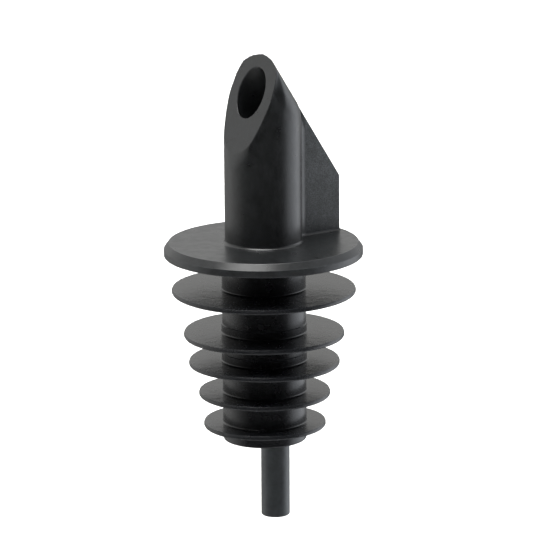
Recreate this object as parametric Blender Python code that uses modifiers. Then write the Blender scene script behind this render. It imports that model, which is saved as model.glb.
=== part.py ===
"""Free-flow pour spout for a spirit bottle, with a soft finned stopper.

The origin is the middle of the collar's underside, at the level of the bottle's rim.
+Z runs up the spout, the mouth faces -Y and the fin faces +Y. Lengths are in metres.
"""

import math

import bmesh
import bpy
from mathutils import Matrix, Vector

MM = 0.001
OBJECT_NAME = "liquor_pour_spout"
GAP = 0.3 * MM  # left between pieces that touch on the real object
MERGE_DISTANCE = 0.002 * MM
OVERSHOOT = 1.0 * MM  # how far a cutter or an inner end runs past the surface it meets
TURN_STEPS = 72
SHARP_ANGLE = math.radians(35)
CORNER_BULGE = 0.3  # where a rounded corner's middle point lies, as a share of its rounding

# Collar: a disc with a chamfered top edge
COLLAR_RADIUS = 16.62 * MM
COLLAR_THICKNESS = 2.25 * MM
COLLAR_RIM_HEIGHT = 1.18 * MM
COLLAR_TOP_RADIUS = 15.85 * MM

# Upright wall of the spout, round in plan, and the chamber inside it
WALL_RADIUS = 6.42 * MM
WALL_TOP = 36.0 * MM
CHAMBER_RADIUS = 5.0 * MM
CHAMBER_TOP = 17.0 * MM

# Nose: round sides and a flatter arched back that both slope up to the flat mouth
APEX = Vector((0.0, 0.24 * MM, 33.98 * MM))  # where the back's middle meets the mouth
BACK_ELEVATION = math.radians(57.1)
BACK_ARCH_RADIUS = 8.5 * MM
NOSE_RADIUS = 5.79 * MM
NOSE_MOUTH_Y = -1.84 * MM  # where the axis of the round sides meets the mouth
MOUTH_ELEVATION = math.radians(68.8)
BORE_RADIUS = 3.45 * MM
BORE_ELEVATION = math.radians(59.0)
BORE_MOUTH_Y = -2.15 * MM  # where the bore's axis meets the mouth

# Fin: a flat web from the spout's back to the collar
FIN_THICKNESS = 2.0 * MM
FIN_EDGE = 15.02 * MM
FIN_RISE = 0.33 * MM  # how far its sloping edge stands out of the spout's back

# Spigot: the hollow stem under the collar, with the bead that keeps the stopper on
SPIGOT_RADIUS = 5.8 * MM
SPIGOT_END = -29.0 * MM
BEAD_HEIGHT = -23.7 * MM
BEAD_HALF_WIDTH = 0.4 * MM
BEAD_RADIUS = 6.25 * MM

# Stopper: a thin barrel with five round fins, each a little smaller than the one above
BARREL_RADIUS = 7.02 * MM
BARREL_END = -31.7 * MM
BARREL_ROUNDING = 0.45 * MM
SLEEVE_BORE_RADIUS = SPIGOT_RADIUS + GAP
SEAT_STEP = 0.4 * MM  # how far the barrel's top reaches into the collar
STOPPER_FINS = (  # rim radius and the height of its lower edge
    (15.40 * MM, -6.42 * MM),
    (13.46 * MM, -13.83 * MM),
    (12.66 * MM, -18.72 * MM),
    (11.04 * MM, -24.09 * MM),
    (10.26 * MM, -29.40 * MM),
)
FIN_RIM_THICKNESS = 0.74 * MM
FIN_ROOT_FILLET = 0.35 * MM
STEPPED_FINS = (1, 2)  # the barrel widens a little just above these two fins
BARREL_STEP_RADIUS = 7.14 * MM
BARREL_STEP_SLOPE = 0.1 * MM  # the height over which the barrel widens
BARREL_STEP_HEIGHT = 1.4 * MM  # from a fin's upper side to the step above it

# Breather tube, pushed into a socket in the back of the chamber
TUBE_AXIS_Y = 2.25 * MM
TUBE_RADIUS = 2.43 * MM
TUBE_BORE_RADIUS = 1.5 * MM
TUBE_TOP = 6.0 * MM
TUBE_END = -45.6 * MM
TUBE_ROUNDING = 0.5 * MM
TUBE_STEPS = 48
SOCKET_RADIUS = TUBE_RADIUS + GAP
SOCKET_BOSS_RADIUS = 3.4 * MM
SOCKET_BOTTOM = 3.5 * MM
SOCKET_ROOF = 8.5 * MM
SOCKET_BOSS_TOP = 10.0 * MM
VENT_RADIUS = 0.6 * MM
VENT_HEIGHT = 7.4 * MM


def clear_scene():
    for old in list(bpy.data.objects):
        bpy.data.objects.remove(old, do_unlink=True)


def new_collection(name):
    collection = bpy.data.collections.new(name)
    bpy.context.scene.collection.children.link(collection)
    return collection


def place_in(collection, piece):
    for holder in list(piece.users_collection):
        holder.objects.unlink(piece)
    collection.objects.link(piece)


def plastic(name, colour, roughness):
    material = bpy.data.materials.new(name)
    material.use_nodes = True
    shader = material.node_tree.nodes["Principled BSDF"]
    shader.inputs["Base Color"].default_value = (*colour, 1.0)
    shader.inputs["Roughness"].default_value = roughness
    shader.inputs["Metallic"].default_value = 0.0
    return material


def shade_round(piece):
    piece.data.shade_smooth()
    piece.data.set_sharp_from_angle(angle=SHARP_ANGLE)


def turned(collection, name, profile, steps=TURN_STEPS):
    """A solid turned around Z. The profile is a closed loop of (radius, height) points."""
    mesh = bpy.data.meshes.new(name)
    edges = [(i, (i + 1) % len(profile)) for i in range(len(profile))]
    if profile[0][0] == 0.0:
        edges.pop()
    mesh.from_pydata([(radius, 0.0, height) for radius, height in profile], edges, [])
    piece = bpy.data.objects.new(name, mesh)
    collection.objects.link(piece)
    screw = piece.modifiers.new("turn", "SCREW")
    screw.axis = "Z"
    screw.steps = steps
    screw.render_steps = steps
    screw.use_merge_vertices = True
    screw.merge_threshold = MERGE_DISTANCE
    screw.use_smooth_shade = True
    return piece


def rod(collection, name, radius, bottom, top, centre=(0.0, 0.0), steps=TURN_STEPS):
    """An upright cylinder between two heights."""
    bpy.ops.mesh.primitive_cylinder_add(
        vertices=steps,
        radius=radius,
        depth=top - bottom,
        location=(centre[0], centre[1], (bottom + top) / 2),
    )
    piece = bpy.context.object
    piece.name = name
    shade_round(piece)
    place_in(collection, piece)
    return piece


def leaning_rod(collection, name, radius, length, middle, elevation):
    """A cylinder whose axis rises towards -Y at the given elevation."""
    bpy.ops.mesh.primitive_cylinder_add(
        vertices=TURN_STEPS,
        radius=radius,
        depth=length,
        location=middle,
        rotation=(math.pi / 2 - elevation, 0.0, 0.0),
    )
    piece = bpy.context.object
    piece.name = name
    shade_round(piece)
    place_in(collection, piece)
    return piece


def leaning_block(collection, name, size, corner_edge, lean):
    """A box over the plane through corner_edge, which is turned about X by lean."""
    bpy.ops.mesh.primitive_cube_add(size=1.0)
    piece = bpy.context.object
    piece.name = name
    piece.data.transform(Matrix.Diagonal((*size, 1.0)))
    piece.data.transform(Matrix.Translation((0.0, size[1] / 2, 0.0)))
    piece.location = corner_edge
    piece.rotation_euler = (lean, 0.0, 0.0)
    place_in(collection, piece)
    return piece


def upright_plate(collection, name, outline, thickness):
    """A flat plate across X = 0, from a closed outline of (y, z) points."""
    curve = bpy.data.curves.new(name, "CURVE")
    curve.dimensions = "2D"
    curve.fill_mode = "BOTH"
    curve.extrude = thickness / 2
    spline = curve.splines.new("POLY")
    spline.points.add(len(outline) - 1)
    for point, (y, z) in zip(spline.points, outline):
        point.co = (y, z, 0.0, 1.0)
    spline.use_cyclic_u = True
    drawing = bpy.data.objects.new(name + "_outline", curve)
    collection.objects.link(drawing)
    drawing.rotation_euler = (math.pi / 2, 0.0, math.pi / 2)
    bpy.context.view_layer.update()

    evaluated = drawing.evaluated_get(bpy.context.evaluated_depsgraph_get())
    mesh = bpy.data.meshes.new_from_object(evaluated)
    editable = bmesh.new()
    editable.from_mesh(mesh)
    bmesh.ops.remove_doubles(editable, verts=editable.verts, dist=MERGE_DISTANCE)
    editable.to_mesh(mesh)
    editable.free()
    piece = bpy.data.objects.new(name, mesh)
    piece.matrix_world = drawing.matrix_world
    collection.objects.link(piece)
    bpy.data.objects.remove(drawing, do_unlink=True)
    return piece


def combine(piece, tool, operation):
    """Add, cut or intersect with another solid, which then stays as a hidden guide."""
    boolean = piece.modifiers.new(f"{operation.lower()}_{tool.name}", "BOOLEAN")
    boolean.operation = operation
    boolean.object = tool
    boolean.solver = "EXACT"
    weld = piece.modifiers.new(f"weld_{tool.name}", "WELD")
    weld.merge_threshold = MERGE_DISTANCE
    tool.hide_render = True
    tool.display_type = "WIRE"


def across(elevation):
    """The upward direction square to a slope that rises towards -Y."""
    return Vector((0.0, math.sin(elevation), math.cos(elevation)))


def fin_top(y):
    """Height of the fin's sloping edge."""
    rise = FIN_RISE / math.cos(BACK_ELEVATION)
    return APEX.z + rise - (y - APEX.y) * math.tan(BACK_ELEVATION)


def collar_and_spigot(collection):
    seat_radius = BARREL_RADIUS + GAP
    seat_roof = SEAT_STEP + GAP
    bead_top = BEAD_HEIGHT + BEAD_HALF_WIDTH
    bead_bottom = BEAD_HEIGHT - BEAD_HALF_WIDTH
    profile = [
        (0.0, COLLAR_THICKNESS),
        (COLLAR_TOP_RADIUS, COLLAR_THICKNESS),
        (COLLAR_RADIUS, COLLAR_RIM_HEIGHT),
        (COLLAR_RADIUS, 0.0),
        (seat_radius, 0.0),
        (seat_radius, seat_roof),
        (SPIGOT_RADIUS, seat_roof),
        (SPIGOT_RADIUS, bead_top),
        (BEAD_RADIUS, BEAD_HEIGHT),
        (SPIGOT_RADIUS, bead_bottom),
        (SPIGOT_RADIUS, SPIGOT_END),
        (0.0, SPIGOT_END),
    ]
    return turned(collection, "spout_body", profile)


def on_mouth(y):
    """The point of the mouth's middle line at the given y."""
    return Vector((0.0, y, APEX.z + (y - APEX.y) * math.tan(MOUTH_ELEVATION)))


def round_off(guides, wall, name, radius, middle):
    """Trim a wall to a sloping cylinder, on the side above the cylinder's axis."""
    size = (WALL_TOP, WALL_TOP * 2, WALL_TOP * 4)
    above = leaning_block(guides, "above_" + name, size, middle, math.pi / 2 - BACK_ELEVATION)
    cylinder = leaning_rod(guides, name, radius, WALL_TOP * 6, middle, BACK_ELEVATION)
    combine(above, cylinder, "DIFFERENCE")
    combine(wall, above, "DIFFERENCE")


def nose_outside(guides):
    """The upright wall, cut off by the sloping back and the mouth."""
    wall = rod(guides, "nose_outside", WALL_RADIUS, COLLAR_THICKNESS - OVERSHOOT, WALL_TOP)
    round_off(guides, wall, "nose_sides", NOSE_RADIUS, on_mouth(NOSE_MOUTH_Y))
    round_off(guides, wall, "back_arch", BACK_ARCH_RADIUS, APEX - across(BACK_ELEVATION) * BACK_ARCH_RADIUS)
    size = (WALL_TOP, WALL_TOP * 2, WALL_TOP * 4)
    in_front = leaning_block(guides, "in_front_of_the_mouth", size, APEX, math.pi / 2 + MOUTH_ELEVATION)
    combine(wall, in_front, "DIFFERENCE")
    return wall


def back_fin(guides):
    foot = COLLAR_THICKNESS - OVERSHOOT
    outline = [
        (WALL_RADIUS - OVERSHOOT, foot),
        (FIN_EDGE, foot),
        (FIN_EDGE, fin_top(FIN_EDGE)),
        (OVERSHOOT, fin_top(OVERSHOOT)),
    ]
    return upright_plate(guides, "back_fin", outline, FIN_THICKNESS)


def hollow_inside(guides):
    """The chamber, with the leaning bore from its top out through the mouth."""
    hollow = rod(guides, "hollow_inside", CHAMBER_RADIUS, SPIGOT_END - OVERSHOOT, WALL_TOP)
    size = (WALL_TOP * 2, WALL_TOP, WALL_TOP * 2)
    around_bore = leaning_block(
        guides, "around_the_bore", size, Vector((0.0, 0.0, CHAMBER_TOP)), math.pi / 2
    )
    bore = leaning_rod(
        guides, "leaning_bore", BORE_RADIUS, WALL_TOP * 2, on_mouth(BORE_MOUTH_Y), BORE_ELEVATION
    )
    combine(around_bore, bore, "DIFFERENCE")
    combine(hollow, around_bore, "DIFFERENCE")
    return hollow


def make_spout_body(parts, guides):
    body = collar_and_spigot(parts)
    combine(body, nose_outside(guides), "UNION")
    combine(body, back_fin(guides), "UNION")
    combine(body, hollow_inside(guides), "DIFFERENCE")

    socket_centre = (0.0, TUBE_AXIS_Y)
    boss = rod(
        guides, "socket_boss", SOCKET_BOSS_RADIUS, SOCKET_BOTTOM, SOCKET_BOSS_TOP, socket_centre, TUBE_STEPS
    )
    combine(body, boss, "UNION")
    socket = rod(
        guides, "socket", SOCKET_RADIUS, SOCKET_BOTTOM - OVERSHOOT, SOCKET_ROOF, socket_centre, TUBE_STEPS
    )
    combine(body, socket, "DIFFERENCE")
    vent_length = FIN_EDGE + OVERSHOOT - TUBE_AXIS_Y
    vent_middle = Vector((0.0, TUBE_AXIS_Y + vent_length / 2, VENT_HEIGHT))
    vent = leaning_rod(guides, "vent", VENT_RADIUS, vent_length, vent_middle, 0.0)
    combine(body, vent, "DIFFERENCE")
    body.data.materials.append(plastic("spout_plastic", (0.018, 0.019, 0.021), 0.32))
    return body


def stopper_outside():
    """The barrel's outer side from top to bottom, with its fins."""
    points = [(BARREL_RADIUS, SEAT_STEP)]
    for number, (rim_radius, lower_edge) in enumerate(STOPPER_FINS):
        upper_edge = lower_edge + FIN_RIM_THICKNESS
        root_radius = BARREL_RADIUS
        if number in STEPPED_FINS:
            root_radius = BARREL_STEP_RADIUS
            step_height = upper_edge + BARREL_STEP_HEIGHT
            points += [(BARREL_RADIUS, step_height + BARREL_STEP_SLOPE), (root_radius, step_height)]
        points += [
            (root_radius, upper_edge + FIN_ROOT_FILLET),
            (root_radius + FIN_ROOT_FILLET, upper_edge),
            (rim_radius, upper_edge),
            (rim_radius, lower_edge),
            (BARREL_RADIUS + FIN_ROOT_FILLET, lower_edge),
            (BARREL_RADIUS, lower_edge - FIN_ROOT_FILLET),
        ]
    points += [
        (BARREL_RADIUS, BARREL_END + BARREL_ROUNDING),
        (BARREL_RADIUS - BARREL_ROUNDING * CORNER_BULGE, BARREL_END + BARREL_ROUNDING * CORNER_BULGE),
        (BARREL_RADIUS - BARREL_ROUNDING, BARREL_END),
    ]
    return points


def make_stopper(parts):
    groove_radius = BEAD_RADIUS + GAP
    groove_half_width = BEAD_HALF_WIDTH + GAP
    bore = [
        (SLEEVE_BORE_RADIUS, BARREL_END),
        (SLEEVE_BORE_RADIUS, BEAD_HEIGHT - groove_half_width),
        (groove_radius, BEAD_HEIGHT - GAP / 2),
        (groove_radius, BEAD_HEIGHT + GAP / 2),
        (SLEEVE_BORE_RADIUS, BEAD_HEIGHT + groove_half_width),
        (SLEEVE_BORE_RADIUS, SEAT_STEP),
    ]
    stopper = turned(parts, "stopper", stopper_outside() + bore)
    stopper.data.materials.append(plastic("stopper_plastic", (0.020, 0.020, 0.021), 0.28))
    return stopper


def make_breather_tube(parts):
    profile = [
        (TUBE_RADIUS - TUBE_ROUNDING / 2, TUBE_TOP),
        (TUBE_RADIUS, TUBE_TOP - TUBE_ROUNDING / 2),
        (TUBE_RADIUS, TUBE_END + TUBE_ROUNDING),
        (TUBE_RADIUS - TUBE_ROUNDING * CORNER_BULGE, TUBE_END + TUBE_ROUNDING * CORNER_BULGE),
        (TUBE_RADIUS - TUBE_ROUNDING, TUBE_END),
        (TUBE_BORE_RADIUS, TUBE_END),
        (TUBE_BORE_RADIUS, TUBE_TOP),
    ]
    tube = turned(parts, "breather_tube", profile, TUBE_STEPS)
    tube.location = (0.0, TUBE_AXIS_Y, 0.0)
    tube.data.materials.append(plastic("tube_plastic", (0.024, 0.025, 0.027), 0.42))
    return tube


def main():
    clear_scene()
    parts = new_collection(OBJECT_NAME)
    guides = new_collection(OBJECT_NAME + "_cutters")

    make_stopper(parts)
    body = make_spout_body(parts, guides)
    tube = make_breather_tube(parts)

    turning_axis = bpy.data.objects.new("spout_turn_axis", None)
    turning_axis.empty_display_size = COLLAR_RADIUS
    parts.objects.link(turning_axis)
    body.parent = turning_axis
    tube.parent = turning_axis


main()
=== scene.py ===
"""Looks of the liquor pour spout: finely rounded plastic pieces, their materials, light and camera.

The frame is metres, +Z up the spout, the mouth towards -Y and the fin towards +Y, with the
origin in the middle of the collar's underside.
"""

import math

import bpy
import numpy as np
from mathutils import Matrix, Vector


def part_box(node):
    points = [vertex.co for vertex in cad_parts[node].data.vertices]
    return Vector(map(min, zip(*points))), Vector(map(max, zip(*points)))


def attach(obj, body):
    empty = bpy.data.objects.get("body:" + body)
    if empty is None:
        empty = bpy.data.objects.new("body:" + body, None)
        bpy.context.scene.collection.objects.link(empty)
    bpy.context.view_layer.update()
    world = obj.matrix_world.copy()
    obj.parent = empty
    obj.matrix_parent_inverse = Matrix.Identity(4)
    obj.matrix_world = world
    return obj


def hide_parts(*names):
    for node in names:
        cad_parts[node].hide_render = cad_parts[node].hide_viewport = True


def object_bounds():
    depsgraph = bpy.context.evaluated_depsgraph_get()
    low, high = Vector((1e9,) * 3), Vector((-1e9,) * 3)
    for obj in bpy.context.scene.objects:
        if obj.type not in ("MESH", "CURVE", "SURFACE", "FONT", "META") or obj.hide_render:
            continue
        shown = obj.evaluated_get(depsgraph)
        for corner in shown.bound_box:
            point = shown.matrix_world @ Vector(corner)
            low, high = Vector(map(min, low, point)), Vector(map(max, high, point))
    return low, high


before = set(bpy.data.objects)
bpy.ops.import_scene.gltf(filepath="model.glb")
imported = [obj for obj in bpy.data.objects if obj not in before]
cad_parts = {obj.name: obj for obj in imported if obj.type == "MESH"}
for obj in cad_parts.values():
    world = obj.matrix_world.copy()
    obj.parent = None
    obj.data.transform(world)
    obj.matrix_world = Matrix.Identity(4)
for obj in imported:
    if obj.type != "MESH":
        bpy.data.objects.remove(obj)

CAD_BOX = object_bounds()

MM = 0.001


def box_mm(node):
    """Lowest and highest corner of a CAD node, in millimetres like every size of the pieces below."""
    return [np.array(corner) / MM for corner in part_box(node)]


SPOUT_LOW, SPOUT_HIGH = box_mm("spout_body")
STOPPER_LOW, STOPPER_HIGH = box_mm("stopper")
TUBE_LOW, TUBE_HIGH = box_mm("breather_tube")

# Collar and spigot
COLLAR_RADIUS = SPOUT_HIGH[0]
COLLAR_TOP = 2.25
COLLAR_RIM_HEIGHT = 1.18
COLLAR_TOP_RADIUS = COLLAR_RADIUS - 0.77
SEAT_RADIUS = 7.32
SEAT_ROOF = 0.7
SPIGOT_RADIUS = 5.8
SPIGOT_END = SPOUT_LOW[2]
BEAD_HEIGHT = -23.7
BEAD_RADIUS = 6.25
BEAD_HALF_WIDTH = 0.4

# Spout: upright round wall, nose, mouth, bore and fin
WALL_RADIUS = 6.42
CHAMBER_RADIUS = 5.0
CHAMBER_TOP = 17.0
APEX_Y = 0.24
APEX_Z = SPOUT_HIGH[2]
BACK_SLOPE = math.radians(57.1)
BACK_ARCH_RADIUS = 8.5
NOSE_RADIUS = 5.79
NOSE_MOUTH_Y = -1.84
NOSE_FLARE = 0.16
SIDE_RELEASE = 0.75  # how far the narrowed sides give way to the round wall behind the mouth
RELEASE_DEPTH = 3.0
SIDE_ROUNDING = 0.3
ARCH_ROUNDING = 0.05
ARCH_ROUNDING_GAIN = 0.7  # added behind the mouth
MOUTH_ROUNDING = 0.05
MOUTH_ROUNDING_GAIN = 0.5  # added towards the mouth's lower end
MOUTH_ROUNDING_TOP = 20.5
MOUTH_ROUNDING_FOOT = 17.6
MOUTH_SLOPE = math.radians(68.8)
BORE_RADIUS = 3.45
BORE_SLOPE = math.radians(59.0)
BORE_MOUTH_Y = -2.15
FIN_HALF_THICKNESS = 1.0
FIN_EDGE = 15.02
FIN_RISE = 0.33
FIN_START = 1.0
FIN_ROUNDING = 0.15
WEB_FILLET = 0.15
WEB_FILLET_GAIN = 1.6  # added over as great a depth below the fin's sloping edge
FOOT_FILLET = 0.5
FOOT_FILLET_REACH = 0.8

# Socket that holds the breather tube, and the vent from it to the fin's rear edge
TUBE_Y = (TUBE_LOW[1] + TUBE_HIGH[1]) / 2
BOSS_RADIUS = 3.4
BOSS_BOTTOM = 3.5
BOSS_TOP = 10.0
SOCKET_ROOF = 8.5
VENT_RADIUS = 0.6
VENT_HEIGHT = 7.4

# Stopper
BARREL_RADIUS = 7.02
BARREL_TOP = STOPPER_HIGH[2]
BARREL_END = STOPPER_LOW[2]
SLEEVE_RADIUS = SPIGOT_RADIUS + 0.3
GROOVE_RADIUS = BEAD_RADIUS + 0.3
GROOVE_HALF_WIDTH = BEAD_HALF_WIDTH + 0.3
STOPPER_FINS = (  # rim radius and height of the lower edge
    (15.40, -6.42),
    (13.46, -13.83),
    (12.66, -18.72),
    (11.04, -24.09),
    (10.26, -29.40),
)
RIM_THICKNESS = 0.74
RIM_TAPER = 0.12
STEPPED_FINS = (1, 2)
BARREL_STEP_RADIUS = 7.14
BARREL_STEP_HEIGHT = 1.4
FIN_WAVE = 0.05
SEAM_HEIGHT = 0.03
SEAM_SPREAD = 0.0006  # in the sine of the angle round the barrel

# Breather tube
TUBE_RADIUS = TUBE_HIGH[0]
TUBE_BORE_RADIUS = 1.5
TUBE_TOP = TUBE_HIGH[2]
TUBE_END = TUBE_LOW[2]
TUBE_LEAN = math.radians(0.2)
SOCKET_RADIUS = TUBE_RADIUS + 0.3

# Camera: azimuth 0 looks along +Y
CAMERA_AZIMUTH = math.radians(55.0)
CAMERA_ELEVATION = math.radians(14.07)
CAMERA_ROLL = math.radians(0.457)
CAMERA_DISTANCE = 699.1 * MM
CAMERA_OFFSET = (-2.72 * MM, 4.29 * MM)  # where the origin lies from the view's middle
CAMERA_LENS = 269.65


# ---------------------------------------------------------------- turned pieces

def soften(outline, steps=5):
    """Round the corners of a closed (radius, height, rounding) outline and return its points.

    Each point comes with the outward direction of the surface there.
    """
    points, normals = [], []
    corners = [(np.array(c[:2], float), c[2]) for c in outline]
    for i, (corner, rounding) in enumerate(corners):
        before = corners[i - 1][0]
        after = corners[(i + 1) % len(corners)][0]
        back = (before - corner) / np.linalg.norm(before - corner)
        ahead = (after - corner) / np.linalg.norm(after - corner)
        half = math.acos(max(-1.0, min(1.0, float(back @ ahead)))) / 2
        reach = rounding / math.tan(half)
        turn = (back + ahead) / np.linalg.norm(back + ahead)
        centre = corner + turn * rounding / math.sin(half)
        start = corner + back * reach - centre
        finish = corner + ahead * reach - centre
        sweep = math.pi - 2 * half
        side = np.sign(start[0] * finish[1] - start[1] * finish[0])
        for k in range(steps + 1):
            angle = side * sweep * k / steps
            spoke = np.array((
                start[0] * math.cos(angle) - start[1] * math.sin(angle),
                start[0] * math.sin(angle) + start[1] * math.cos(angle),
            ))
            points.append(centre + spoke)
            normals.append(-spoke * side / rounding)
    return np.array(points), np.array(normals)


def turned_mesh(name, outline, steps, shift=None, corner_steps=5):
    """A solid of revolution around Z, closed round its bore, in metres."""
    profile, directions = soften(outline, corner_steps)
    angle = np.arange(steps) * (2 * math.pi / steps)
    radius, height = profile[:, 0][:, None], profile[:, 1][:, None]
    x = radius * np.cos(angle)
    y = radius * np.sin(angle)
    z = height + 0 * angle
    if shift is not None:
        x, y, z = shift(x, y, z)
    points = np.stack((x, y, z), axis=-1).reshape(-1, 3)
    count = len(profile)
    ring = np.arange(count)[:, None] * steps
    next_ring = (np.arange(count)[:, None] + 1) % count * steps
    here = np.arange(steps)[None, :]
    there = (here + 1) % steps
    faces = np.stack((ring + here, next_ring + here, next_ring + there, ring + there), axis=-1)
    mesh = bpy.data.meshes.new(name)
    mesh.from_pydata((points * MM).tolist(), [], faces.reshape(-1, 4).tolist())
    mesh.shade_smooth()
    normals = np.stack((
        directions[:, 0][:, None] * np.cos(angle),
        directions[:, 0][:, None] * np.sin(angle),
        directions[:, 1][:, None] + 0 * angle,
    ), axis=-1).reshape(-1, 3)
    mesh.normals_split_custom_set_from_vertices(normals.tolist())
    return mesh


def add_object(name, mesh):
    piece = bpy.data.objects.new(name, mesh)
    bpy.context.scene.collection.objects.link(piece)
    return piece


# ---------------------------------------------------------------- distance fields

def join_round(a, b, radius):
    """Union of two solids with a fillet of the given radius between them."""
    u = np.maximum(radius - a, 0.0)
    v = np.maximum(radius - b, 0.0)
    return np.maximum(radius, np.minimum(a, b)) - np.hypot(u, v)


def cut_round(a, b, radius):
    """What two solids share, with their common edge rounded to the given radius."""
    return -join_round(-a, -b, radius)


def ease(low, high, value):
    t = np.clip((value - low) / (high - low), 0.0, 1.0)
    return t * t * (3.0 - 2.0 * t)


def above_back(y, z):
    """Height over the origin, square to the slope of the spout's back."""
    return y * math.sin(BACK_SLOPE) + z * math.cos(BACK_SLOPE)


def mouth_point(y):
    return APEX_Z + (y - APEX_Y) * math.tan(MOUTH_SLOPE)


def outside_of_spout(x, y, z):
    """The nose, wall and fin as one solid, without its hollow."""
    lift = above_back(y, z)
    back_top = above_back(APEX_Y, APEX_Z)
    side_axis = above_back(NOSE_MOUTH_Y, mouth_point(NOSE_MOUTH_Y))
    wall = np.hypot(x, y) - WALL_RADIUS
    arch = np.hypot(x, np.maximum(lift - back_top + BACK_ARCH_RADIUS, 0.0)) - BACK_ARCH_RADIUS
    below_axis = np.maximum(side_axis - lift, 0.0)
    sides = np.hypot(x, np.maximum(lift - side_axis, 0.0)) - NOSE_RADIUS - NOSE_FLARE * below_axis
    mouth = (z - APEX_Z) * math.cos(MOUTH_SLOPE) - (y - APEX_Y) * math.sin(MOUTH_SLOPE)
    behind_mouth = ease(0.0, RELEASE_DEPTH, -mouth)
    shell = cut_round(wall, sides - SIDE_RELEASE * behind_mouth, SIDE_ROUNDING)
    shell = cut_round(shell, arch, ARCH_ROUNDING + ARCH_ROUNDING_GAIN * behind_mouth)

    under_edge = back_top + FIN_RISE - lift
    fin = np.abs(x) - FIN_HALF_THICKNESS
    for limit in (y - FIN_EDGE, -under_edge, FIN_START - y):
        fin = cut_round(fin, limit, FIN_ROUNDING)
    web_fillet = WEB_FILLET + WEB_FILLET_GAIN * ease(0.1, WEB_FILLET_GAIN, under_edge)
    joined = join_round(shell, fin, web_fillet)

    lower_end = ease(MOUTH_ROUNDING_TOP, MOUTH_ROUNDING_FOOT, z)
    return cut_round(joined, mouth, MOUTH_ROUNDING + MOUTH_ROUNDING_GAIN * lower_end)


def hollow_of_spout(x, y, z):
    """The chamber and the leaning bore that opens in the mouth."""
    chamber = np.hypot(x, y) - CHAMBER_RADIUS
    off_axis_y = y - BORE_MOUTH_Y
    off_axis_z = z - mouth_point(BORE_MOUTH_Y)
    across = off_axis_y * math.sin(BORE_SLOPE) + off_axis_z * math.cos(BORE_SLOPE)
    bore = np.hypot(x, across) - BORE_RADIUS
    return cut_round(chamber, join_round(z - CHAMBER_TOP, bore, 0.6), 0.5)


def upper_spout(x, y, z):
    """Signed distance of everything above the collar, in millimetres."""
    outside = outside_of_spout(x, y, z)
    foot = join_round(outside, z - (COLLAR_TOP - 0.012), FOOT_FILLET)
    foot = np.maximum(foot, outside - FOOT_FILLET_REACH)
    solid = cut_round(foot, -hollow_of_spout(x, y, z), 0.12)

    from_tube = np.hypot(x, y - TUBE_Y)
    boss = cut_round(from_tube - BOSS_RADIUS, np.maximum(BOSS_BOTTOM - z, z - BOSS_TOP), 0.25)
    boss = np.maximum(boss, np.hypot(x, y) - CHAMBER_RADIUS - 0.5)
    solid = join_round(solid, boss, 0.3)
    socket = np.maximum(from_tube - SOCKET_RADIUS, z - SOCKET_ROOF)
    vent = np.maximum(np.hypot(x, z - VENT_HEIGHT) - VENT_RADIUS, TUBE_Y - y)
    solid = cut_round(solid, -socket, 0.1)
    solid = cut_round(solid, -vent, 0.12)
    return np.maximum(solid, COLLAR_TOP - 1.0 - z)


def slope_of(distance, points, reach=0.002):
    """Gradient of a distance field at each point."""
    parts = []
    for axis in range(3):
        step = np.zeros(3)
        step[axis] = reach
        ahead = distance(*(points + step).T)
        behind = distance(*(points - step).T)
        parts.append((ahead - behind) / (2 * reach))
    return np.stack(parts, axis=1)


def settle(distance, points, rounds=4):
    """Move points on to the surface where the distance is zero."""
    for _ in range(rounds):
        slope = slope_of(distance, points)
        square = np.maximum((slope * slope).sum(axis=1), 0.05)
        points = points - slope * (distance(*points.T) / square)[:, None]
    return points


def surface_net(distance, low, high, cell):
    """Quads round the zero surface of a distance field, one vertex in each cell it crosses."""
    axes = [np.arange(a, b + cell, cell) for a, b in zip(low, high)]
    value = distance(*np.meshgrid(*axes, indexing="ij"))
    inside = value < 0.0
    cells = tuple(n - 1 for n in value.shape)
    total = np.zeros(cells + (3,))
    hits = np.zeros(cells, int)
    crossings = []
    for axis in range(3):
        first = np.moveaxis(value, axis, 0)[:-1]
        second = np.moveaxis(value, axis, 0)[1:]
        cross = np.moveaxis((first < 0.0) != (second < 0.0), 0, axis)
        with np.errstate(divide="ignore", invalid="ignore"):
            share = np.moveaxis(first / (first - second), 0, axis)
        share = np.where(cross, share, 0.0)
        crossings.append(cross)
        others = [a for a in range(3) if a != axis]
        for i in (0, 1):
            for j in (0, 1):
                pick = [slice(None)] * 3
                pick[others[0]] = slice(i, i + cells[others[0]])
                pick[others[1]] = slice(j, j + cells[others[1]])
                hit = cross[tuple(pick)]
                hits += hit
                total[..., axis] += share[tuple(pick)]
                total[..., others[0]] += hit * i
                total[..., others[1]] += hit * j
    active = hits > 0
    number = np.full(cells, -1)
    number[active] = np.arange(active.sum())
    corner = np.argwhere(active)
    points = np.array(low) + (corner + total[active] / hits[active][:, None]) * cell

    quads = []
    for axis in range(3):
        b, c = (axis + 1) % 3, (axis + 2) % 3
        place = np.argwhere(crossings[axis])
        fits = (place[:, b] > 0) & (place[:, c] > 0)
        fits &= (place[:, b] < cells[b]) & (place[:, c] < cells[c])
        place = place[fits]
        step_b, step_c = np.eye(3, dtype=int)[b], np.eye(3, dtype=int)[c]
        around = [place - step_b - step_c, place - step_c, place, place - step_b]
        quad = np.stack([number[tuple(p.T)] for p in around], axis=1)
        flip = ~inside[tuple(place.T)]
        quad[flip] = quad[flip][:, ::-1]
        quads.append(quad)
    return points, np.concatenate(quads)


def relax(distance, points, quads, rounds=2):
    """Even out the mesh along the surface."""
    for _ in range(rounds):
        middle = points[quads].mean(axis=1)
        total = np.zeros_like(points)
        uses = np.zeros(len(points))
        for k in range(4):
            np.add.at(total, quads[:, k], middle)
            np.add.at(uses, quads[:, k], 1)
        points = settle(distance, 0.5 * points + 0.5 * total / uses[:, None], 2)
    return points


# ---------------------------------------------------------------- spout

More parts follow.
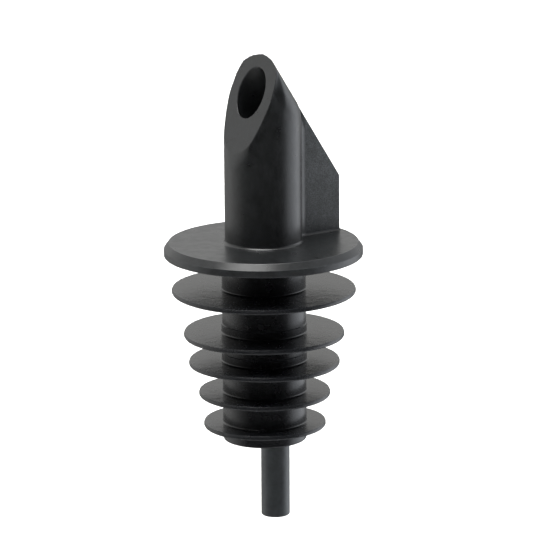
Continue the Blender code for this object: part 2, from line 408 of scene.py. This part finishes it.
TURNED, NETTED = 0, 1  # slot of a face while the two halves of the spout are joined
NORMAL_REACH = 0.05
NET_LOW = (-8.0, -7.4, COLLAR_TOP - 1.3)
NET_HIGH = (8.0, FIN_EDGE + 1.3, APEX_Z + 0.9)
NET_CELL = 0.17


def collar_outline():
    """Collar and spigot as (radius, height, rounding) of each corner, from the top round to the bore."""
    inner = CHAMBER_RADIUS - 0.02
    return [
        (inner, COLLAR_TOP, 0.005),
        (COLLAR_TOP_RADIUS, COLLAR_TOP, 0.12),
        (COLLAR_RADIUS, COLLAR_RIM_HEIGHT, 0.12),
        (COLLAR_RADIUS, 0.0, 0.22),
        (SEAT_RADIUS, 0.0, 0.12),
        (SEAT_RADIUS, SEAT_ROOF, 0.1),
        (SPIGOT_RADIUS, SEAT_ROOF, 0.1),
        (SPIGOT_RADIUS, BEAD_HEIGHT + BEAD_HALF_WIDTH, 0.15),
        (BEAD_RADIUS, BEAD_HEIGHT, 0.15),
        (SPIGOT_RADIUS, BEAD_HEIGHT - BEAD_HALF_WIDTH, 0.15),
        (SPIGOT_RADIUS, SPIGOT_END, 0.25),
        (inner, SPIGOT_END, 0.2),
    ]


def shade_spout(mesh):
    """Give each face corner the exact direction of the shape that its face came from."""
    def read(values, key, kind, width=1):
        found = np.empty(len(values) * width, kind)
        values.foreach_get(key, found)
        return found.reshape(-1, width) if width > 1 else found

    place = read(mesh.vertices, "co", float, 3) / MM
    vertex = read(mesh.loops, "vertex_index", int)
    sides = read(mesh.polygons, "loop_total", int)
    turned = np.repeat(read(mesh.polygons, "material_index", int) == TURNED, sides)
    facing = np.repeat(read(mesh.polygons, "normal", float, 3), sides, axis=0)

    slope = slope_of(upper_spout, place, NORMAL_REACH)
    slope /= np.maximum(np.linalg.norm(slope, axis=1), 1e-9)[:, None]
    normals = slope[vertex]

    profile, directions = soften(collar_outline())
    corner = place[vertex[turned]]
    radius = np.hypot(corner[:, 0], corner[:, 1])
    gap = np.hypot(radius[:, None] - profile[:, 0], corner[:, 2][:, None] - profile[:, 1])
    nearest = directions[gap.argmin(axis=1)]
    across = corner[:, :2] / np.maximum(radius, 1e-9)[:, None]
    exact = np.column_stack((across * nearest[:, :1], nearest[:, 1]))
    flat = np.abs(facing[turned][:, 2]) > 0.9999
    exact[flat] = facing[turned][flat]
    normals[turned] = exact
    mesh.normals_split_custom_set(normals.tolist())


def make_spout(material):
    """The turned collar and spigot, joined to the net of everything above them."""
    cell = NET_CELL
    points, quads = surface_net(upper_spout, NET_LOW, NET_HIGH, cell)
    points = settle(upper_spout, points)
    points = relax(upper_spout, points, quads)
    mesh = bpy.data.meshes.new("upper_spout")
    mesh.from_pydata((points * MM).tolist(), [], quads.tolist())
    turned = turned_mesh("spout", collar_outline(), 256)
    for half in (mesh, turned):
        half.materials.append(material)
        half.materials.append(material)
    mesh.polygons.foreach_set("material_index", np.full(len(mesh.polygons), NETTED))
    upper = add_object("upper_spout", mesh)

    spout = add_object("spout", turned)
    union = spout.modifiers.new("upper_spout", "BOOLEAN")
    union.operation = "UNION"
    union.object = upper
    union.solver = "EXACT"
    whole = bpy.data.meshes.new_from_object(spout.evaluated_get(bpy.context.evaluated_depsgraph_get()))
    spout.modifiers.clear()
    spout.data = whole
    whole.name = "spout"
    bpy.data.objects.remove(upper, do_unlink=True)
    whole.shade_smooth()
    shade_spout(whole)
    whole.polygons.foreach_set("material_index", np.zeros(len(whole.polygons), int))
    whole.materials.clear()
    whole.materials.append(material)
    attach(spout, "spout")
    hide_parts("spout_body")
    return spout


# ---------------------------------------------------------------- stopper

def stopper_outline():
    """Barrel and fins as (radius, height, rounding) of each corner, from the top down and up the bore."""
    outline = [(BARREL_RADIUS, BARREL_TOP, 0.12)]
    for number, (rim, lower) in enumerate(STOPPER_FINS):
        upper = lower + RIM_THICKNESS
        root = BARREL_RADIUS
        if number in STEPPED_FINS:
            root = BARREL_STEP_RADIUS
            step = upper + BARREL_STEP_HEIGHT
            outline += [(BARREL_RADIUS, step + 0.12, 0.03), (root, step, 0.03)]
        outline += [
            (root, upper, 0.3),
            (rim - RIM_TAPER, upper, 0.04),
            (rim, upper - 0.28, 0.1),
            (rim, lower + 0.2, 0.1),
            (rim - RIM_TAPER, lower, 0.05),
            (BARREL_RADIUS, lower - 0.12, 0.35),
        ]
    outline += [
        (BARREL_RADIUS, BARREL_END, 0.3),
        (SLEEVE_RADIUS, BARREL_END, 0.2),
        (SLEEVE_RADIUS, BEAD_HEIGHT - GROOVE_HALF_WIDTH, 0.1),
        (GROOVE_RADIUS, BEAD_HEIGHT, 0.2),
        (SLEEVE_RADIUS, BEAD_HEIGHT + GROOVE_HALF_WIDTH, 0.1),
        (SLEEVE_RADIUS, BARREL_TOP, 0.12),
    ]
    return outline


def soft_moulding(x, y, z):
    """Fins that wave slightly, as soft rubber does, and a faint parting line down the barrel."""
    radius = np.hypot(x, y)
    angle = np.arctan2(y, x)
    for number, (rim, lower) in enumerate(STOPPER_FINS):
        near = (np.abs(z - lower - RIM_THICKNESS / 2) < 0.6) & (radius > BARREL_STEP_RADIUS + 0.4)
        out = np.clip((radius - BARREL_RADIUS) / (rim - BARREL_RADIUS), 0.0, 1.0)
        wave = np.sin(2 * angle + 1.7 * number) + 0.6 * np.sin(3 * angle + 0.9 + 2.3 * number)
        z = z + near * FIN_WAVE * wave * out ** 2
    on_barrel = (radius > SLEEVE_RADIUS + 0.6) & (radius < BARREL_STEP_RADIUS + 0.01)
    seam = np.exp(-((np.abs(np.sin(angle)) - 1.0) / SEAM_SPREAD) ** 2)
    swell = 1.0 + on_barrel * seam * SEAM_HEIGHT / BARREL_RADIUS
    return x * swell, y * swell, z


def make_stopper(material):
    mesh = turned_mesh("stopper_sleeve", stopper_outline(), 288, soft_moulding)
    mesh.materials.append(material)
    stopper = add_object("stopper_sleeve", mesh)
    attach(stopper, "stopper")
    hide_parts("stopper")
    return stopper


# ---------------------------------------------------------------- breather tube

def make_tube(material):
    outline = [
        (TUBE_RADIUS, TUBE_TOP, 0.25),
        (TUBE_RADIUS, TUBE_END, 0.32),
        (TUBE_BORE_RADIUS, TUBE_END, 0.25),
        (TUBE_BORE_RADIUS, TUBE_TOP, 0.15),
    ]

    def lean(x, y, z):
        """Down the stem the tube drifts a little to the camera's left."""
        drift = (z - TUBE_TOP) * math.tan(TUBE_LEAN)
        return (
            x + drift * math.cos(CAMERA_AZIMUTH),
            y + drift * math.sin(CAMERA_AZIMUTH) + TUBE_Y,
            z,
        )

    mesh = turned_mesh("air_tube", outline, 128, lean, 7)
    mesh.materials.append(material)
    tube = add_object("air_tube", mesh)
    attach(tube, "spout")
    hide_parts("breather_tube")
    return tube


# ---------------------------------------------------------------- materials

class Nodes:
    """Short calls for building a material's node tree."""

    def __init__(self, tree):
        self.tree = tree

    def add(self, kind, inputs=None, **settings):
        node = self.tree.nodes.new(kind)
        for key, value in settings.items():
            setattr(node, key, value)
        for key, value in (inputs or {}).items():
            if isinstance(value, bpy.types.NodeSocket):
                self.tree.links.new(value, node.inputs[key])
            else:
                node.inputs[key].default_value = value
        return node

    def noise(self, vector, scale, detail, roughness=0.55):
        node = self.add(
            "ShaderNodeTexNoise",
            {"Vector": vector, "Scale": scale, "Detail": detail, "Roughness": roughness},
        )
        return node.outputs["Fac"]

    def span(self, value, from_low, from_high, to_low, to_high):
        node = self.add("ShaderNodeMapRange", {
            "Value": value, "From Min": from_low, "From Max": from_high, "To Min": to_low, "To Max": to_high,
        })
        return node.outputs["Result"]

    def math(self, operation, first, second):
        return self.add("ShaderNodeMath", {0: first, 1: second}, operation=operation).outputs[0]

    def scaled(self, colour, factor):
        node = self.add("ShaderNodeVectorMath", {0: colour}, operation="SCALE")
        self.tree.links.new(factor, node.inputs["Scale"])
        return node.outputs["Vector"]

    def blend(self, share, first, second):
        node = self.add("ShaderNodeMix", data_type="RGBA")
        for key, value in ((0, share), (6, first), (7, second)):
            if isinstance(value, bpy.types.NodeSocket):
                self.tree.links.new(value, node.inputs[key])
            else:
                node.inputs[key].default_value = value
        return node.outputs[2]


def radius_of(nodes, place):
    """Distance from the spout's upright axis, in metres."""
    level = nodes.add("ShaderNodeVectorMath", {0: place, 1: (1.0, 1.0, 0.0)}, operation="MULTIPLY")
    length = nodes.add("ShaderNodeVectorMath", {0: level.outputs["Vector"]}, operation="LENGTH")
    return length.outputs["Value"]


def matte_places(nodes, place):
    """One on the fin beyond the round wall, a little on the collar's rim: the mould was rougher there."""
    axes = nodes.add("ShaderNodeSeparateXYZ", {"Vector": place})
    radius = radius_of(nodes, place)
    rim = nodes.span(radius, (COLLAR_RADIUS - 0.12) * MM, (COLLAR_RADIUS - 0.04) * MM, 0.0, 0.2)
    outward = nodes.span(axes.outputs["Y"], 7.4 * MM, 8.2 * MM, 0.0, 1.0)
    above_collar = nodes.span(axes.outputs["Z"], 2.4 * MM, 3.0 * MM, 0.0, 1.0)
    return nodes.math("ADD", nodes.math("MULTIPLY", outward, above_collar), rim)


def fin_faces(nodes, place):
    """One on the stopper's fins, nothing on its barrel."""
    return nodes.span(radius_of(nodes, place), 7.4 * MM, 8.4 * MM, 0.0, 1.0)


CLOUD_SCALE = 520.0  # noise scales, in cycles per metre
PATCH_SCALE = 1500.0
GRAIN_SCALE = 5200.0
# Edge mask: edges, concave fillets included, become smoother (wear) and lighter in colour (partly wear,
# partly a painted highlight)
EDGE_WEAR_AND_HIGHLIGHT_WIDTH = 0.25 * MM
EDGE_TURN = (0.995, 0.86)  # cosine between true and eased direction where the wear and painted highlight start and are full
EDGE_WEAR_AND_HIGHLIGHT_SHARE = 0.5
EDGE_WEAR_AND_HIGHLIGHT_BRIGHTNESS = 3.0
EDGE_POLISH = 0.05
SPECKLE = (2.2, 6.0)  # how much lighter the grain makes a rough place
ROUGH_PLACE_GAIN = 0.12
ROUGH_PLACE_GRAIN = 3.0
UNEVEN_DEPTH = 0.06 * MM


def moulded_plastic(
    name, dark, light, roughness, mottle, grain_depth, wave_depth, rough_zone=None, uneven_zone=None
):
    """Black plastic: a fine moulded grain, cloudy patches, and edges that are smoother from use and lighter
    in colour, the lighter colour partly wear and partly a painted highlight.

    The two zones are functions that say where it is left rough and where its surface swells unevenly.
    """
    material = bpy.data.materials.new(name)
    material.use_nodes = True
    tree = material.node_tree
    nodes = Nodes(tree)
    shader = tree.nodes["Principled BSDF"]
    place = nodes.add("ShaderNodeTexCoord").outputs["Object"]
    zone = rough_zone(nodes, place) if rough_zone else 0.0

    cloud = nodes.noise(place, CLOUD_SCALE, 4.0)
    patch = nodes.noise(place, PATCH_SCALE, 3.0, 0.6)
    grain = nodes.noise(place, GRAIN_SCALE, 2.0, 0.5)
    eased = nodes.add("ShaderNodeBevel", {"Radius": EDGE_WEAR_AND_HIGHLIGHT_WIDTH}, samples=4).outputs["Normal"]
    facing = nodes.add("ShaderNodeNewGeometry").outputs["Normal"]
    turn = nodes.add("ShaderNodeVectorMath", {0: eased, 1: facing}, operation="DOT_PRODUCT")
    edge = nodes.span(turn.outputs["Value"], *EDGE_TURN, 0.0, 1.0)

    tone = nodes.span(nodes.math("ADD", cloud, patch), 0.75, 1.25, 0.0, 1.0)
    colour = nodes.blend(tone, (*dark, 1.0), (*light, 1.0))
    speckle = nodes.span(grain, 0.35, 0.65, *SPECKLE)
    chalky = nodes.blend(zone, colour, nodes.scaled(colour, speckle))
    # Lighter colour along every edge and fillet: partly wear, partly a painted highlight
    polished_and_highlit = tuple(EDGE_WEAR_AND_HIGHLIGHT_BRIGHTNESS * c for c in light) + (1.0,)
    worn_and_highlit = nodes.blend(nodes.math("MULTIPLY", edge, EDGE_WEAR_AND_HIGHLIGHT_SHARE), chalky, polished_and_highlit)
    tree.links.new(worn_and_highlit, shader.inputs["Base Color"])

    rough = nodes.span(cloud, 0.3, 0.7, roughness - mottle, roughness + mottle)
    rough = nodes.math("ADD", rough, nodes.math("MULTIPLY", zone, ROUGH_PLACE_GAIN))
    rough = nodes.math("SUBTRACT", rough, nodes.math("MULTIPLY", edge, EDGE_POLISH))
    tree.links.new(rough, shader.inputs["Roughness"])
    shader.inputs["IOR"].default_value = 1.5

    wave = nodes.add("ShaderNodeBump", {"Height": patch, "Strength": 1.0, "Distance": wave_depth})
    if uneven_zone:
        swell = nodes.math("MULTIPLY", uneven_zone(nodes, place), UNEVEN_DEPTH)
        wave = nodes.add("ShaderNodeBump", {
            "Height": cloud, "Strength": 1.0, "Distance": swell, "Normal": wave.outputs["Normal"],
        })
    coarser = nodes.math("ADD", 1.0, nodes.math("MULTIPLY", zone, ROUGH_PLACE_GRAIN))
    depth = nodes.math("MULTIPLY", grain_depth, coarser)
    fine = nodes.add("ShaderNodeBump", {
        "Height": grain, "Strength": 1.0, "Distance": depth, "Normal": wave.outputs["Normal"],
    })
    tree.links.new(fine.outputs["Normal"], shader.inputs["Normal"])
    return material


def make_materials():
    spout = moulded_plastic(
        "spout_plastic", (0.0062, 0.0068, 0.0072), (0.0108, 0.0118, 0.0128),
        roughness=0.32, mottle=0.05, grain_depth=5e-6, wave_depth=9e-6, rough_zone=matte_places,
    )
    stopper = moulded_plastic(
        "stopper_plastic", (0.0066, 0.0072, 0.0086), (0.0076, 0.0082, 0.0096),
        roughness=0.27, mottle=0.008, grain_depth=1.2e-6, wave_depth=0.8e-6, uneven_zone=fin_faces,
    )
    tube = moulded_plastic(
        "tube_plastic", (0.0190, 0.0222, 0.0245), (0.0275, 0.0322, 0.0360),
        roughness=0.38, mottle=0.04, grain_depth=4e-6, wave_depth=6e-6,
    )
    return spout, stopper, tube


# ---------------------------------------------------------------- studio

def direction(azimuth_from_camera, elevation):
    """Unit vector that far round from the camera's own direction (right positive) and up."""
    turn = CAMERA_AZIMUTH - math.pi / 2 + azimuth_from_camera
    flat = math.cos(elevation)
    return Vector((flat * math.cos(turn), flat * math.sin(turn), math.sin(elevation)))


# Parts of the surroundings, in degrees: azimuth from the camera's direction, elevation, and the
# angles away from there where the part starts to fade and where it has gone
DARK_FRONT = (5.0, -8.0, 36.0, 112.0)
DIM_BEHIND = (180.0, -40.0, 26.0, 66.0)
DIM_BELOW = (0.0, -90.0, 32.0, 68.0)
FLOOR_GLOW = (20.0, -75.0, 15.0, 58.0)
SIDE_BOX = (107.0, -14.0, 10.0, 42.0)
HIGH_BOX = (-30.0, 66.0, 10.0, 26.0)
COOL_SIDE = (80.0, -14.0, 20.0, 100.0)

SUN_ENERGY = 2.2
SUN_ANGLE = math.radians(30.0)
FLOOR_DROP = 30.0 * MM
FLOOR_HALF_WIDTH = 6.0


def make_world():
    """White surroundings, dark on the camera's side and dimmer behind and below, with two soft boxes."""
    world = bpy.data.worlds.new("studio")
    bpy.context.scene.world = world
    world.use_nodes = True
    tree = world.node_tree
    nodes = Nodes(tree)
    background = tree.nodes["Background"]
    ray = nodes.add("ShaderNodeTexCoord").outputs["Generated"]

    def lobe(azimuth, elevation, start, end):
        """One towards the given direction, falling to nothing between two angles from it."""
        towards = tuple(direction(math.radians(azimuth), math.radians(elevation)))
        dot = nodes.add("ShaderNodeVectorMath", {0: ray, 1: towards}, operation="DOT_PRODUCT")
        near, far = math.cos(math.radians(start)), math.cos(math.radians(end))
        node = nodes.add("ShaderNodeMapRange", {
            "Value": dot.outputs["Value"], "From Min": far, "From Max": near, "To Min": 0.0, "To Max": 1.0,
        }, interpolation_type="SMOOTHSTEP")
        return node.outputs["Result"]

    def times(first, second):
        return nodes.math("MULTIPLY", first, second)

    def dimmed(light, share, where):
        return times(light, nodes.math("SUBTRACT", 1.0, times(share, where)))

    light = nodes.math("SUBTRACT", 1.0, lobe(*DARK_FRONT))
    light = dimmed(light, 0.68, lobe(*DIM_BEHIND))
    light = dimmed(light, 0.45, lobe(*DIM_BELOW))
    for part, strength in ((FLOOR_GLOW, 0.4), (SIDE_BOX, 1.2), (HIGH_BOX, 8.0)):
        light = nodes.math("ADD", light, times(lobe(*part), strength))
    tree.links.new(light, background.inputs["Strength"])
    tint = nodes.blend(lobe(*COOL_SIDE), (1.0, 1.0, 0.985, 1.0), (0.93, 0.965, 1.02, 1.0))
    tree.links.new(tint, background.inputs["Color"])


def make_floor():
    """A wide pale floor a little below the object, unseen in reflections."""
    half = FLOOR_HALF_WIDTH
    mesh = bpy.data.meshes.new("floor")
    mesh.from_pydata(
        [(-half, -half, 0.0), (half, -half, 0.0), (half, half, 0.0), (-half, half, 0.0)], [], [(0, 1, 2, 3)]
    )
    floor = add_object("floor", mesh)
    floor.location.z = CAD_BOX[0].z - FLOOR_DROP
    floor.visible_glossy = False
    material = bpy.data.materials.new("pale_floor")
    material.use_nodes = True
    shader = material.node_tree.nodes["Principled BSDF"]
    shader.inputs["Base Color"].default_value = (0.93, 0.93, 0.93, 1.0)
    shader.inputs["Roughness"].default_value = 0.9
    shader.inputs["Specular IOR Level"].default_value = 0.0
    mesh.materials.append(material)


def make_sun():
    """A broad soft sun from straight above."""
    light = bpy.data.lights.new("overhead", "SUN")
    light.energy = SUN_ENERGY
    light.angle = SUN_ANGLE
    sun = bpy.data.objects.new("overhead", light)
    bpy.context.scene.collection.objects.link(sun)


def make_camera():
    """The camera, aimed from its azimuth and elevation, with the origin a little off the middle."""
    right = Vector((math.cos(CAMERA_AZIMUTH), math.sin(CAMERA_AZIMUTH), 0.0))
    away = Vector((-math.sin(CAMERA_AZIMUTH), math.cos(CAMERA_AZIMUTH), 0.0))
    forward = away * math.cos(CAMERA_ELEVATION) - Vector((0, 0, 1)) * math.sin(CAMERA_ELEVATION)
    up = away * math.sin(CAMERA_ELEVATION) + Vector((0, 0, 1)) * math.cos(CAMERA_ELEVATION)
    place = -(right * CAMERA_OFFSET[0] + up * CAMERA_OFFSET[1] + forward * CAMERA_DISTANCE)
    rolled_up = up * math.cos(CAMERA_ROLL) + right * math.sin(CAMERA_ROLL)
    rolled_right = right * math.cos(CAMERA_ROLL) - up * math.sin(CAMERA_ROLL)
    data = bpy.data.cameras.new("camera")
    data.lens = CAMERA_LENS
    data.sensor_width = 36.0
    data.clip_start = 0.01
    data.clip_end = 50.0
    camera = bpy.data.objects.new("camera", data)
    basis = Matrix((rolled_right, rolled_up, -forward)).transposed().to_4x4()
    camera.matrix_world = Matrix.Translation(place) @ basis
    bpy.context.scene.collection.objects.link(camera)
    bpy.context.scene.camera = camera


spout_plastic, stopper_plastic, tube_plastic = make_materials()
make_spout(spout_plastic)
make_stopper(stopper_plastic)
make_tube(tube_plastic)
make_world()
make_floor()
make_sun()
make_camera()
bpy.context.scene.view_settings.view_transform = "Standard"
